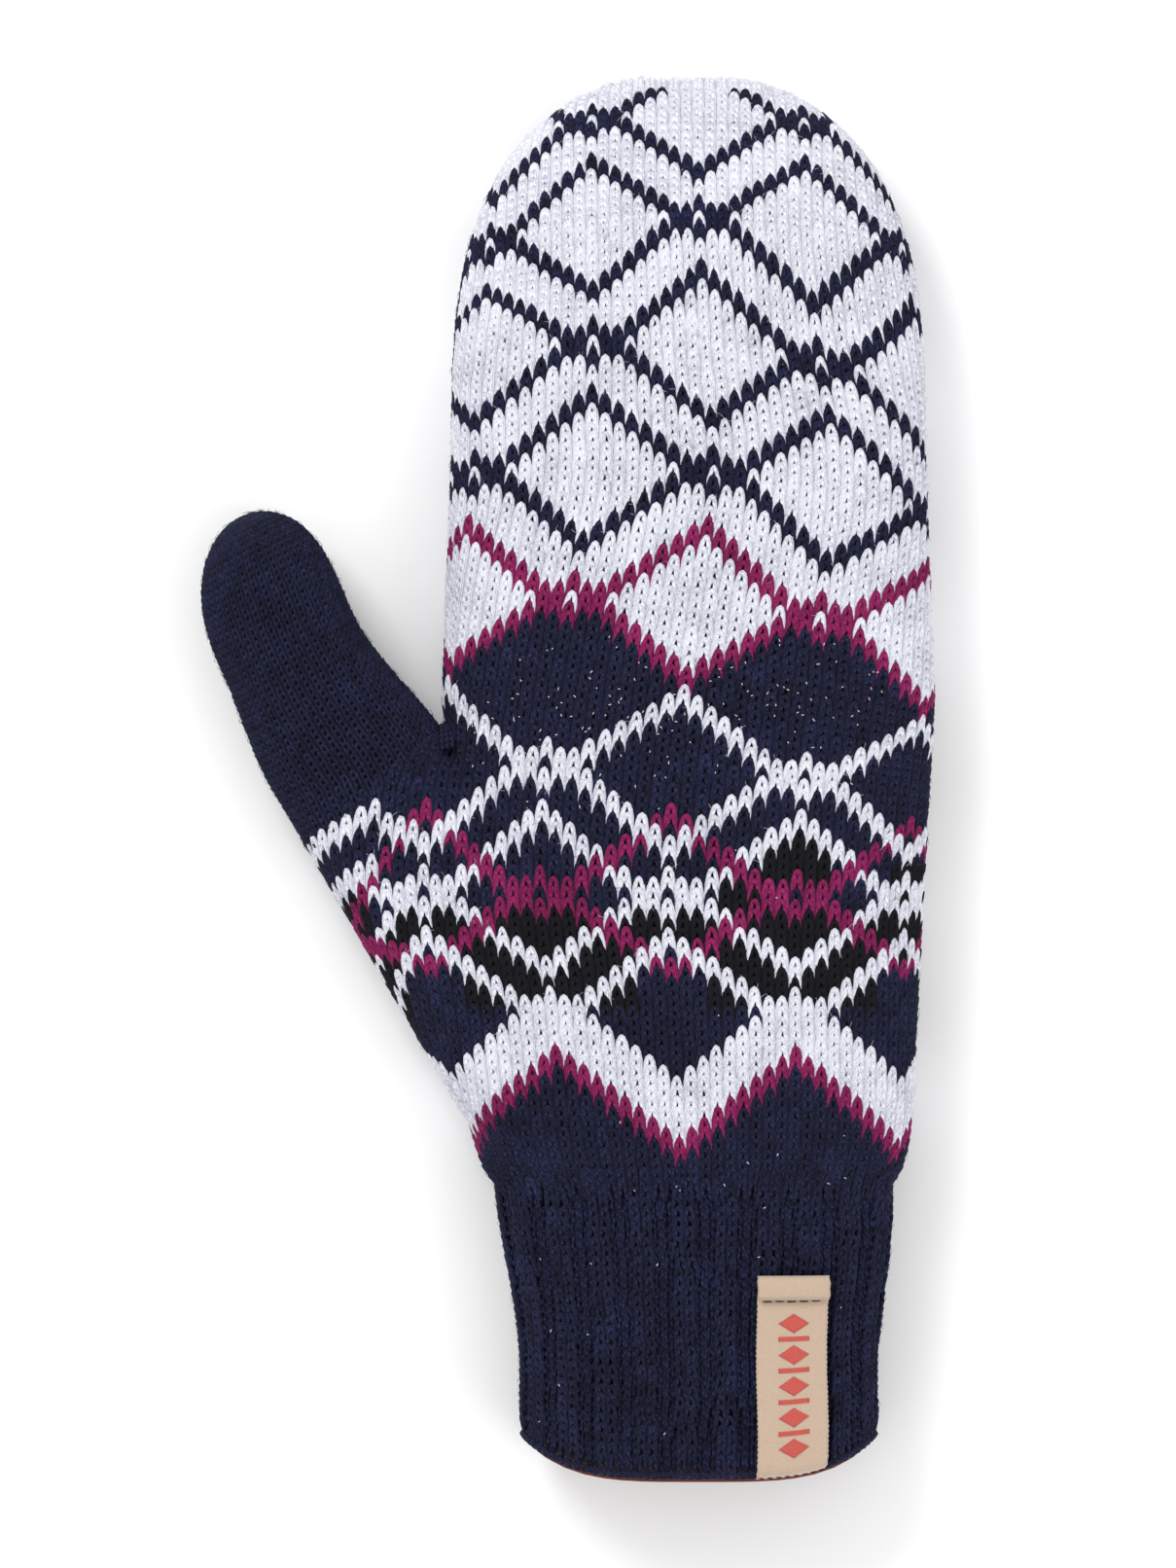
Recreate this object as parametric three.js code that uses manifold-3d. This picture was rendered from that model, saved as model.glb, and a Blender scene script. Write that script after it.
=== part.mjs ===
// A lined knitted mitten, lying on its palm: patterned knit hand with a swinging thumb and a folding
// finger end, ribbed cuff, fleece lining, a woven label folded over the hem, and the yarns and threads
// that join them.
//
// Millimetres. +Y runs from the hem to the fingertips, +Z out of the back of the hand, and the thumb
// is on the -X side. While the parts are made, y = 0 is the hem, x = 0 the hand's centre line and z = 0
// its middle plane; the last lines move the whole mitten so that the origin is the centre of its base.

import * as THREE from "three";
import { mergeVertices } from "three/addons/utils/BufferGeometryUtils.js";
import Module from "manifold-3d";

const wasm = await Module();
wasm.setup();

// ---------------------------------------------------------------- driving dimensions (mm, degrees)

// Lengths along the mitten
const LENGTH = 270; // hem to fingertip
const CUFF_LENGTH = 56; // ribbed cuff
const PALM_AT = 150; // where the hand is widest
const CROTCH_AT = 144; // fork between the thumb and the hand
const DOME_LENGTH = 72; // rounded fingertip end
const KNUCKLE_ABOVE_CROTCH = 28; // fold line of the fingers

// Widths, laid flat
const HEM_WIDTH = 69;
const WRIST_WIDTH = 76.6;
const HEEL_WIDTH = 85;
const PALM_WIDTH = 95.2;
const FINGER_WIDTH = 91.6; // where the dome begins
const CUFF_OFFSET = 2; // the cuff sits this much towards the little finger
const WRIST_PINCH = 5; // length over which the wrist opens into the heel of the hand
const CUFF_FLARE = 36; // length over which the cuff opens towards the wrist

// Thickness, measured from the middle plane
const HAND_RISE = 15;
const CUFF_RISE = 16.5;
const PALM_DROP = 13;

// Thumb
const THUMB_LEAN = 27; // away from the hand's direction
const THUMB_REACH = 54; // root to tip
const THUMB_TIP_LENGTH = 23; // rounded end
const THUMB_TIP_WIDTH = 28.5; // where the rounded end begins
const THUMB_ROOT_WIDTH = 35;
const GUSSET_WRIST_WIDTH = 21; // the gusset's own width where it fades into the wrist
const THUMB_RISE = 12;
const THUMB_DROP = 11.5;
const GUSSET_RISE = 13.5; // half way down the gusset

// Layers, from outside to inside
const KNIT_WALL = 2.2;
const RIB_WALL = 3.2;
const LINING_WALL = 2;
const BAND_WALL = 1.8; // the lining's turned band at the cuff
const BAND_SHOWS = 0.8; // how far it shows past the hem
const BAND_PAST_THREAD = 1; // how far it reaches past its thread
const TOUCH = 0.3; // gap between pieces that touch
const SEAM_ROOM = 0.35; // gap either side of a seam's yarn, between the knit and the lining

// Joints: both turn on a drum that is a little larger than what passes over it
const THUMB_DRUM_MARGIN = 2.5;
const FOLD_DRUM_MARGIN = 5;

// Hem and labels
const HEM_CORNER = 8; // height of the hem's rounded corners
const LABEL_WIDTH = 13;
const LABEL_LENGTH = 37; // hem to the label's top edge
const LABEL_TUCK = 9; // end folded inside the cuff
const LABEL_THICKNESS = 0.8;
const LABEL_BEND = 1.5; // how far its bend stands out past the lining's band
const LABEL_AT = 19.6; // centre, from the hand's centre line
const LABEL_STITCHES = 5;
const LABEL_STITCH_BELOW = 2.4; // stitch line below the top edge
const CARE_WIDTH = 20;
const CARE_LENGTH = 32;
const CARE_THICKNESS = 0.8;
const CARE_AT = 8; // centre, from the hand's centre line
const CARE_ABOVE_BAND = 3;
const STITCH_MARGIN = 1.5; // stitches stop this far from a label's edges
const STITCH_RISE = 0.25; // half height of the waves of a row of stitches

// Yarns and threads
const SEAM_YARN = 0.9;
const SEWING_THREAD = 0.6;
const HEM_THREAD_PAST_LABEL = 2;
const FINGERTIP_SEAM_REACH = 43; // how far the linking seam comes down each side from the fingertip
const SEAM_CLEARANCE = 3; // where one seam stops short of another or of a joint
const THUMB_TIP_RING_BACK = 1.2; // the drawn-up ring, behind the thumb's tip

// ---------------------------------------------------------------- resolution

const AROUND = 28;
const DRUM_SIDES = 40;
const CUFF_RINGS = 4;
const HAND_RINGS = 6;
const FINGER_RINGS = 2;
const DOME_RINGS = 9;
const THUMB_RINGS = 5;
const YARN_SIDES = 6; // an even number
const SECTION_POWER = 2.6; // 2 is an ellipse, more is flatter with rounder sides
const FLATTENING = 1.1; // how much of the palm side is pressed flat
const OVERRUN = 14; // how far the cuff's forms reach past the hem before they are cut
const FAR = 400;

// ---------------------------------------------------------------- helpers

const radians = (degrees) => (degrees * Math.PI) / 180;
const mix = (a, b, t) => a + (b - a) * t;
const clamp01 = (t) => Math.min(1, Math.max(0, t));
const smooth = (t) => clamp01(t) ** 2 * (3 - 2 * clamp01(t));

// count + 1 values from one end to the other; ease above 1 crowds them near the first.
const steps = (from, to, count, ease = 1) =>
  Array.from({ length: count + 1 }, (_, i) => mix(from, to, (i / count) ** ease));

// A closed geometry as a manifold solid, with shared vertices merged and collapsed faces dropped.
function solid(geometry) {
  const bare = new THREE.BufferGeometry();
  bare.setAttribute("position", geometry.getAttribute("position"));
  bare.setIndex(geometry.index);
  const merged = mergeVertices(bare, 1e-4);
  const corners = merged.index.array;
  const kept = [];
  for (let i = 0; i < corners.length; i += 3) {
    const [a, b, c] = corners.subarray(i, i + 3);
    if (a !== b && b !== c && a !== c) kept.push(a, b, c);
  }
  const mesh = new wasm.Mesh({
    numProp: 3,
    vertProperties: merged.getAttribute("position").array,
    triVerts: new Uint32Array(kept),
  });
  return new wasm.Manifold(mesh);
}

function geometryOf(body) {
  const mesh = body.getMesh();
  const geometry = new THREE.BufferGeometry();
  geometry.setAttribute("position", new THREE.BufferAttribute(mesh.vertProperties, 3));
  geometry.setIndex(new THREE.BufferAttribute(mesh.triVerts, 1));
  geometry.computeVertexNormals();
  return geometry;
}

// A block that holds everything past a station along the mitten.
function beyond(y) {
  return solid(new THREE.BoxGeometry(FAR, FAR, FAR).translate(0, y + FAR / 2, 0));
}

// The main body of a cut, without slivers that a glancing cut leaves.
function mainPiece(body) {
  return body.decompose().reduce((a, b) => (a.volume() > b.volume() ? a : b));
}

// ---------------------------------------------------------------- outer form of the hand and cuff

const domeStart = LENGTH - DOME_LENGTH;

function halfWidthAt(y) {
  const wrist = WRIST_WIDTH / 2;
  const heel = HEEL_WIDTH / 2;
  const palm = PALM_WIDTH / 2;
  if (y < CUFF_LENGTH) {
    return mix(HEM_WIDTH / 2, wrist, smooth((y - CUFF_LENGTH + CUFF_FLARE) / CUFF_FLARE));
  }
  if (y > PALM_AT) return mix(palm, FINGER_WIDTH / 2, clamp01((y - PALM_AT) / (domeStart - PALM_AT)));
  const pinch = (heel - wrist) * Math.exp((CUFF_LENGTH - y) / WRIST_PINCH);
  return mix(heel, palm, (y - CUFF_LENGTH) / (PALM_AT - CUFF_LENGTH)) - pinch;
}

// The section at station y, this far inside the outer face.
function handSection(y, inset) {
  const t = clamp01((y - domeStart) / (DOME_LENGTH - inset));
  const rise = mix(CUFF_RISE, HAND_RISE, smooth(y / CUFF_LENGTH));
  const depth = (1 - t ** 4) ** 0.5;
  return {
    along: y,
    centre: CUFF_OFFSET * (1 - smooth((y - CUFF_LENGTH / 2) / CUFF_LENGTH)),
    halfWidth: (halfWidthAt(Math.min(y, domeStart)) - inset) * (1 - t ** 3) ** 0.45,
    rise: (rise - inset) * depth,
    drop: (PALM_DROP - inset) * depth,
  };
}

// A point on a section: turn 0 is its +X side, a quarter turn the top.
function onSection(turn, section) {
  const press = 2 / SECTION_POWER;
  const across = Math.cos(turn);
  const up = Math.sin(turn);
  const x = section.centre + section.halfWidth * Math.sign(across) * Math.abs(across) ** press;
  const lift = Math.abs(up) ** press;
  const z = up > 0 ? section.rise * lift : -section.drop * Math.min(1, FLATTENING * lift);
  return new THREE.Vector3(x, section.along, z);
}

// A lathed bar whose rings are each pressed into the section of their station.
function pressedBar(sections) {
  const cap = { ...sections[0], halfWidth: 0, rise: 0, drop: 0 };
  const stations = [cap, ...sections];
  const profile = stations.map((s) => new THREE.Vector2(s.halfWidth, s.along));
  const bar = new THREE.LatheGeometry(profile, AROUND);
  const position = bar.getAttribute("position");
  for (let i = 0; i < position.count; i++) {
    const station = stations[i % stations.length];
    const turn = (-2 * Math.PI * Math.floor(i / stations.length)) / AROUND;
    position.setXYZ(i, ...onSection(turn, station));
  }
  return bar;
}

// Stations of a rounded end, closer together towards its tip.
const domeStations = (from, tip, count) =>
  steps(1, 0, count)
    .slice(1)
    .map((left) => mix(tip, from, left ** 2.2));

function handForm(inset) {
  const cuff = steps(-OVERRUN, CUFF_LENGTH, CUFF_RINGS);
  const hand = steps(CUFF_LENGTH, PALM_AT, HAND_RINGS, 2).slice(1);
  const fingers = steps(PALM_AT, domeStart, FINGER_RINGS).slice(1);
  const dome = domeStations(domeStart, LENGTH - inset, DOME_RINGS);
  const stations = [...cuff, ...hand, ...fingers, ...dome];
  return solid(pressedBar(stations.map((y) => handSection(y, inset))));
}

// ---------------------------------------------------------------- outer form of the thumb

const crotch = new THREE.Vector2(-halfWidthAt(CROTCH_AT), CROTCH_AT);
const thumbAxis = new THREE.Vector2(-Math.sin(radians(THUMB_LEAN)), Math.cos(radians(THUMB_LEAN)));
const awayFromHand = new THREE.Vector2(-thumbAxis.y, thumbAxis.x);
const thumbRoot = crotch.clone().addScaledVector(awayFromHand, THUMB_ROOT_WIDTH / 2);
const gussetLength = (thumbRoot.y - CUFF_LENGTH) / thumbAxis.y;
const thumbTipStart = THUMB_REACH - THUMB_TIP_LENGTH;

// The section this far past the thumb's root, measured along its axis; the gusset is on the minus side.
function thumbSection(along, inset) {
  const t = clamp01((along - thumbTipStart) / (THUMB_TIP_LENGTH - inset));
  const back = clamp01(-along / gussetLength);
  const root = THUMB_ROOT_WIDTH / 2;
  const free = mix(root, THUMB_TIP_WIDTH / 2, clamp01(along / thumbTipStart));
  const width = along > 0 ? free : mix(root, GUSSET_WRIST_WIDTH / 2, back);
  const dome = (1 - t ** 2.6) ** 0.5;
  return {
    along,
    centre: 0,
    halfWidth: (width - inset) * dome,
    rise: (mix(THUMB_RISE, GUSSET_RISE, Math.sin(Math.PI * back)) - inset) * dome,
    drop: (THUMB_DROP - inset) * dome,
  };
}

// From the thumb's own axis into the mitten's frame.
function leanThumb(thing) {
  const turn = new THREE.Matrix4().makeRotationZ(radians(THUMB_LEAN));
  const place = new THREE.Matrix4().makeTranslation(thumbRoot.x, thumbRoot.y, 0);
  return thing.applyMatrix4(place.multiply(turn));
}

function thumbForm(inset) {
  const gusset = steps(-gussetLength, 0, THUMB_RINGS);
  const free = steps(0, thumbTipStart, 2).slice(1);
  const dome = domeStations(thumbTipStart, THUMB_REACH - inset, THUMB_RINGS);
  const sections = [...gusset, ...free, ...dome].map((along) => thumbSection(along, inset));
  return solid(leanThumb(pressedBar(sections)));
}

// A point this far inside the outer face, on the hand or on the thumb.
const onHand = (turn, y, inset) => onSection(turn, handSection(y, inset));
const onThumb = (turn, along, inset) => leanThumb(onSection(turn, thumbSection(along, inset)));

// ---------------------------------------------------------------- joints

const thumbDrumRadius = THUMB_ROOT_WIDTH / 2 + THUMB_DRUM_MARGIN;
const crotchToJoint = thumbDrumRadius + 2 * TOUCH;
const jointAlong = (crotchToJoint ** 2 - (THUMB_ROOT_WIDTH / 2) ** 2) ** 0.5;
const thumbJoint = thumbRoot.clone().addScaledVector(thumbAxis, jointAlong);
const knuckle = CROTCH_AT + KNUCKLE_ABOVE_CROTCH;
const foldDrumRadius = HAND_RISE + FOLD_DRUM_MARGIN;

// The room of the swinging thumb: an upright drum about its joint, and a block from there to its tip.
function thumbSpace(radius) {
  const drum = new THREE.CylinderGeometry(radius, radius, FAR, DRUM_SIDES).rotateX(Math.PI / 2);
  const block = new THREE.BoxGeometry(2 * radius, FAR, FAR).translate(0, FAR / 2, 0);
  const placed = [drum, block].map((shape) => {
    shape.rotateZ(radians(THUMB_LEAN)).translate(thumbJoint.x, thumbJoint.y, 0);
    return solid(shape);
  });
  return placed[0].add(placed[1]);
}

// The room of the folding fingers: everything past the knuckles, outside a drum that lies across them.
function fingerSpace(radius) {
  const drum = new THREE.CylinderGeometry(radius, radius, FAR, DRUM_SIDES).rotateZ(Math.PI / 2);
  return beyond(knuckle).subtract(solid(drum.translate(0, knuckle, 0)));
}

// ---------------------------------------------------------------- knit, rib and lining

// How deep the lining's outer face lies below the knit's: it clears the rib, and the seams' yarn fits.
const liningDepth = Math.max(RIB_WALL + 2 * TOUCH, KNIT_WALL + SEAM_YARN + 2 * SEAM_ROOM);

const hemAt = (x) => HEM_CORNER * Math.abs((x - CUFF_OFFSET) / (HEM_WIDTH / 2)) ** 4;
const hemThreadAt = (x) => LABEL_TUCK + HEM_THREAD_PAST_LABEL + hemAt(x) * (1 - LABEL_TUCK / LABEL_LENGTH);
const bandTop = LABEL_TUCK + HEM_THREAD_PAST_LABEL + HEM_CORNER + BAND_PAST_THREAD;

// Everything above the curved hem line, moved down by drop.
function aboveHem(drop) {
  const side = HEM_WIDTH * 0.75;
  const outline = new THREE.Shape();
  outline.moveTo(CUFF_OFFSET + side, FAR);
  outline.lineTo(CUFF_OFFSET - side, FAR);
  for (const x of steps(CUFF_OFFSET - side, CUFF_OFFSET + side, AROUND)) outline.lineTo(x, hemAt(x) - drop);
  const wall = new THREE.ExtrudeGeometry(outline, { depth: FAR, bevelEnabled: false });
  return solid(wall.translate(0, 0, -FAR / 2));
}

const layer = (form, depth, wall) => form(depth).subtract(form(depth + wall));

// One layer of the hand from a station up to the knuckles, with its hole for the thumb and its gusset, which ends at the cuff.
function handPart(depth, wall, from) {
  const gusset = (inset) => thumbForm(inset).intersect(beyond(CUFF_LENGTH));
  const outside = handForm(depth).add(gusset(depth));
  const inside = handForm(depth + wall).add(gusset(depth + wall));
  const whole = outside.subtract(inside).intersect(beyond(from));
  return mainPiece(whole.subtract(fingerSpace(foldDrumRadius)).subtract(thumbSpace(thumbDrumRadius + TOUCH)));
}

const fingerPart = (depth, wall) =>
  mainPiece(layer(handForm, depth, wall).intersect(fingerSpace(foldDrumRadius + TOUCH)));

const thumbPart = (depth, wall) =>
  mainPiece(layer(thumbForm, depth, wall).intersect(thumbSpace(thumbDrumRadius)));

const ribCuff = () =>
  layer(handForm, 0, RIB_WALL).intersect(aboveHem(0)).subtract(beyond(CUFF_LENGTH - TOUCH));

const liningBand = () =>
  layer(handForm, RIB_WALL + TOUCH, BAND_WALL).intersect(aboveHem(BAND_SHOWS)).subtract(beyond(bandTop));

// ---------------------------------------------------------------- yarns and threads

// A round yarn along a list of points.
function yarn(points, diameter) {
  const outline = new THREE.Shape();
  outline.absarc(0, 0, diameter / 2, 0, 2 * Math.PI);
  return solid(
    new THREE.ExtrudeGeometry(outline, {
      extrudePath: new THREE.CatmullRomCurve3(points),
      steps: points.length - 1,
      curveSegments: YARN_SIDES / 2,
      bevelEnabled: false,
    }),
  );
}

const seamDepth = (KNIT_WALL + liningDepth) / 2; // half way between the knit and the lining

// The seam down one side of the lining, between two stations.
function liningSeam(on, turn, from, to) {
  const points = steps(from, to, 16).map((along) => on(turn, along, seamDepth));
  return yarn(points, SEAM_YARN);
}

// The yarn that links the knit's two faces together round the fingertips.
function fingertipSeam() {
  const tip = LENGTH - seamDepth;
  const down = (side) => (share) => onHand(side, tip - FINGERTIP_SEAM_REACH * share ** 2.2, seamDepth);
  const littleFinger = steps(1, 0, 12).map(down(0));
  const forefinger = steps(0, 1, 12).slice(1).map(down(Math.PI));
  return yarn([...littleFinger, ...forefinger], SEAM_YARN);
}

// The drawn-up yarn that closes the thumb: an open ring just inside its tip.
function thumbTipYarn() {
  const along = THUMB_REACH - seamDepth - THUMB_TIP_RING_BACK;
  const points = steps(0, 1.8 * Math.PI, 14).map((turn) => onThumb(turn, along, seamDepth));
  return yarn(points, SEAM_YARN);
}

// The yarn that the thumb's first round is picked up on, open where its two ends are tied.
function thumbRootYarn() {
  const radius = thumbDrumRadius + SEAM_YARN + 2 * TOUCH;
  const points = steps(0.04 * Math.PI, 1.96 * Math.PI, 30).map((turn) => {
    let along = jointAlong - radius;
    for (let i = 0; i < 20; i++) {
      const across = onSection(turn, thumbSection(along, seamDepth)).x;
      along = jointAlong - (radius ** 2 - across ** 2) ** 0.5;
    }
    return onThumb(turn, along, seamDepth);
  });
  return yarn(points, SEAM_YARN);
}

// The thread that holds the lining's band to the rib, seen inside the cuff.
function hemThread() {
  const inset = RIB_WALL + TOUCH + BAND_WALL + TOUCH + SEWING_THREAD / 2;
  const points = steps(0.02 * Math.PI, 1.98 * Math.PI, 40).map((turn) => {
    const x = onHand(turn, bandTop / 2, inset).x;
    return onHand(turn, hemThreadAt(x), inset);
  });
  return yarn(points, SEWING_THREAD);
}

// A row of stitches across a label: a thread that waves up and down over a surface.
function stitchRow(centre, width, count, y, heightAt) {
  const half = width / 2 - STITCH_MARGIN;
  const points = steps(-1, 1, 6 * count).map((share) => {
    const x = centre + share * half;
    const wave = STITCH_RISE * (1 + Math.cos(Math.PI * count * (share + 1)));
    return new THREE.Vector3(x, y, heightAt(x) + TOUCH + SEWING_THREAD / 2 + wave);
  });
  return yarn(points, SEWING_THREAD);
}

// ---------------------------------------------------------------- labels

// Height of the back of the cuff over a point of the plan, this far inside its outer face.
function backHeight(x, y, inset) {
  const section = handSection(y, inset);
  const share = Math.abs((x - section.centre) / section.halfWidth) ** SECTION_POWER;
  return section.rise * (1 - share) ** (1 / SECTION_POWER);
}

// The woven label: a strip bent into a hook round the hem and laid on the cuff's two faces.
function wovenLabel() {
  const wall = RIB_WALL + TOUCH + BAND_WALL;
  const bendHeight = wall / 2 + TOUCH + LABEL_THICKNESS;
  const bendAt = -BAND_SHOWS - TOUCH;
  const hook = new THREE.Shape();
  hook.moveTo(LABEL_LENGTH, TOUCH + LABEL_THICKNESS);
  for (const y of steps(LABEL_LENGTH, bendAt, 8).slice(1)) hook.lineTo(y, TOUCH + LABEL_THICKNESS);
  hook.absellipse(bendAt, -wall / 2, LABEL_BEND, bendHeight, Math.PI / 2, 1.5 * Math.PI);
  hook.lineTo(LABEL_TUCK, -wall - TOUCH - LABEL_THICKNESS);
  hook.lineTo(LABEL_TUCK, -wall - TOUCH);
  const [innerBend, innerHeight] = [LABEL_BEND, bendHeight].map((r) => r - LABEL_THICKNESS);
  hook.absellipse(bendAt, -wall / 2, innerBend, innerHeight, 1.5 * Math.PI, Math.PI / 2, true);
  for (const y of steps(bendAt, LABEL_LENGTH, 8).slice(1)) hook.lineTo(y, TOUCH);
  const strip = new THREE.ExtrudeGeometry(hook, {
    depth: LABEL_WIDTH,
    steps: 6,
    curveSegments: 8,
    bevelEnabled: false,
  });
  const position = strip.getAttribute("position");
  for (let i = 0; i < position.count; i++) {
    const x = LABEL_AT - LABEL_WIDTH / 2 + position.getZ(i);
    const y = position.getX(i) + hemAt(x) * clamp01(1 - position.getX(i) / LABEL_LENGTH);
    const height = position.getY(i);
    const within = clamp01(-height / wall);
    const ground = mix(backHeight(x, y, 0), backHeight(x, y, wall) + wall, within);
    position.setXYZ(i, x, y, ground + height);
  }
  return solid(strip);
}

function labelThread() {
  const y = LABEL_LENGTH - LABEL_STITCH_BELOW;
  const top = (x) => backHeight(x, y, 0) + TOUCH + LABEL_THICKNESS;
  return stitchRow(LABEL_AT, LABEL_WIDTH, LABEL_STITCHES, y, top);
}

// The care label lies on the lining inside the cuff, sewn down at its lower end.
const careFloor = -(PALM_DROP - liningDepth - LINING_WALL) + TOUCH;
const careStart = bandTop + CARE_ABOVE_BAND;

function careLabel() {
  const strip = new THREE.BoxGeometry(CARE_WIDTH, CARE_LENGTH, CARE_THICKNESS);
  return solid(strip.translate(CARE_AT, careStart + CARE_LENGTH / 2, careFloor + CARE_THICKNESS / 2));
}

function careThread() {
  const top = () => careFloor + CARE_THICKNESS;
  return stitchRow(CARE_AT, CARE_WIDTH, LABEL_STITCHES, careStart + STITCH_MARGIN, top);
}

// ---------------------------------------------------------------- the mitten

const NAVY = { color: 0x1e203c, roughness: 0.95, metalness: 0 };
const WHITE = { color: 0xe8e8f2, roughness: 0.95, metalness: 0 };
const MAGENTA = { color: 0x87305c, roughness: 0.95, metalness: 0 };
const FLEECE = { color: 0x2a2c40, roughness: 1, metalness: 0 };
const BAND = { color: 0xb98a80, roughness: 0.9, metalness: 0 };
const SATIN = { color: 0xdec4ac, roughness: 0.55, metalness: 0 };
const CARE = { color: 0xf2f2f0, roughness: 0.5, metalness: 0 };
const THREAD = { color: 0x8a6f62, roughness: 0.7, metalness: 0 };

const liningFrom = bandTop + TOUCH;
const foldEdge = knuckle + foldDrumRadius;
const seams = {
  hand: [CUFF_LENGTH + 2 * WRIST_PINCH, foldEdge - SEAM_CLEARANCE],
  fingers: [foldEdge + SEAM_CLEARANCE, LENGTH - seamDepth - FINGERTIP_SEAM_REACH - SEAM_CLEARANCE],
  thumb: [0, THUMB_REACH - seamDepth - THUMB_TIP_RING_BACK - 2 * SEAM_CLEARANCE],
};

const pieces = [
  ["hand_knit", handPart(0, KNIT_WALL, CUFF_LENGTH), WHITE],
  ["finger_knit", fingerPart(0, KNIT_WALL), WHITE],
  ["thumb_knit", thumbPart(0, KNIT_WALL), NAVY],
  ["rib_cuff", ribCuff(), NAVY],
  ["hand_lining", handPart(liningDepth, LINING_WALL, liningFrom), FLEECE],
  ["finger_lining", fingerPart(liningDepth, LINING_WALL), FLEECE],
  ["thumb_lining", thumbPart(liningDepth, LINING_WALL), FLEECE],
  ["lining_hem_band", liningBand(), BAND],
  ["hand_lining_seam", liningSeam(onHand, 0, ...seams.hand), MAGENTA],
  ["finger_lining_seam", liningSeam(onHand, 0, ...seams.fingers), MAGENTA],
  ["thumb_lining_seam", liningSeam(onThumb, Math.PI, ...seams.thumb), MAGENTA],
  ["fingertip_linking_yarn", fingertipSeam(), WHITE],
  ["thumb_tip_yarn", thumbTipYarn(), NAVY],
  ["thumb_pickup_yarn", thumbRootYarn(), WHITE],
  ["hem_thread", hemThread(), THREAD],
  ["woven_label", wovenLabel(), SATIN],
  ["label_thread", labelThread(), THREAD],
  ["care_label", careLabel(), CARE],
  ["care_label_thread", careThread(), THREAD],
];

const mitten = new THREE.Group();
for (const [name, body, look] of pieces) {
  const mesh = new THREE.Mesh(geometryOf(body), new THREE.MeshStandardMaterial(look));
  mesh.name = name;
  mitten.add(mesh);
}

const extent = new THREE.Box3().setFromObject(mitten);
const middle = extent.getCenter(new THREE.Vector3());
mitten.position.set(-middle.x, -middle.y, -extent.min.z);

const root = new THREE.Group();
root.add(mitten);

export default root;
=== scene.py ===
import math

import bpy
import numpy as np
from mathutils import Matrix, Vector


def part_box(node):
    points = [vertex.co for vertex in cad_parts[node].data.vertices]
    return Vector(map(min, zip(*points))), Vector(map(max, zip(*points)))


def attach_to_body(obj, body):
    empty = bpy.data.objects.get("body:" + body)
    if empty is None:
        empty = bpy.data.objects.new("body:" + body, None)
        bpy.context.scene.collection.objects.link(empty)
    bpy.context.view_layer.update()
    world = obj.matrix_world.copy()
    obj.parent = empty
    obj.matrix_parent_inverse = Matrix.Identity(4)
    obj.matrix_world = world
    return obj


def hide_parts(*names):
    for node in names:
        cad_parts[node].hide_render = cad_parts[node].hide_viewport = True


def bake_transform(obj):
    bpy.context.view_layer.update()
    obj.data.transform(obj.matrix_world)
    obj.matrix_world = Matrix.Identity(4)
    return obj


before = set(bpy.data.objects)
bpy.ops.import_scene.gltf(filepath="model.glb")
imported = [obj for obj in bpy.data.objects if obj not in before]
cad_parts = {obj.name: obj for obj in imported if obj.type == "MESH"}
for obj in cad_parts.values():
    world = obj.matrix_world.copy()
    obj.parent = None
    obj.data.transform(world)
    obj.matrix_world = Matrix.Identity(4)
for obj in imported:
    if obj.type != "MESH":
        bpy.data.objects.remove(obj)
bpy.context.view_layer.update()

# A knitted mitten lying on its palm. Lengths below are in millimetres, from the middle of the hem, with the
# fingers along +y and the mitten's mid-plane at z = 0. ORIGIN takes them into the row frame.
rng = np.random.default_rng(7)
cuff_lo, cuff_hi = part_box("rib_cuff")
tip_lo, tip_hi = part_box("finger_knit")
PALM_DROP = 13.0
ORIGIN = np.array([500 * (tip_lo.x + tip_hi.x), 1000 * cuff_lo.y, PALM_DROP])

LENGTH = 270.0
CUFF = 56.0
CUFF_OFFSET = 2.0  # the cuff sits this much towards the little finger
CUFF_FLARE = 36.0  # length over which the cuff opens towards the wrist
HEM_HALF = 34.5
HEM_CORNER = 8.0  # height of the hem's rounded corners
CROTCH = np.array([-47.3, 144.0])
SEAM_FOOT = np.array([-71.8, 121.0])  # where the thumb's first course meets the outer edge
DOME_FROM = 198.0
ROOT = np.array([-62.867, 136.055])  # on the thumb's axis
LEAN = math.radians(27)
ALONG = np.array([-math.sin(LEAN), math.cos(LEAN)])
ACROSS = np.array([math.cos(LEAN), math.sin(LEAN)])
GUSSET = 89.8  # length, from the wrist to the root
THUMB_REACH = 54.0
BULGE = 2.6  # how square the sections are

WALES = 80  # round the hand
YARN = 0.51  # radius
LOOP_HEIGHT = 2.1  # in courses
LOOP_LEAN = 0.02
LOOP_DEPTH = 0.85


def smooth(t):
    t = np.clip(t, 0, 1)
    return t * t * (3 - 2 * t)


def mix(a, b, t):
    return a + (b - a) * t


def to_frame(p):
    return (np.asarray(p) + ORIGIN) / 1000


def linear(rgb):
    c = np.array(rgb) / 255
    return [float(v) for v in np.where(c < 0.04045, c / 12.92, ((c + 0.055) / 1.055) ** 2.4)] + [1.0]


# ---------------------------------------------------- shape of the hand and thumb

def dome(y, power, root):
    t = np.clip((y - DOME_FROM) / (LENGTH - DOME_FROM), 0, 1)
    return np.maximum(1 - t**power, 0) ** root


def centre(y):
    return CUFF_OFFSET * (1 - smooth((y - CUFF / 2) / CUFF))


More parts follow.
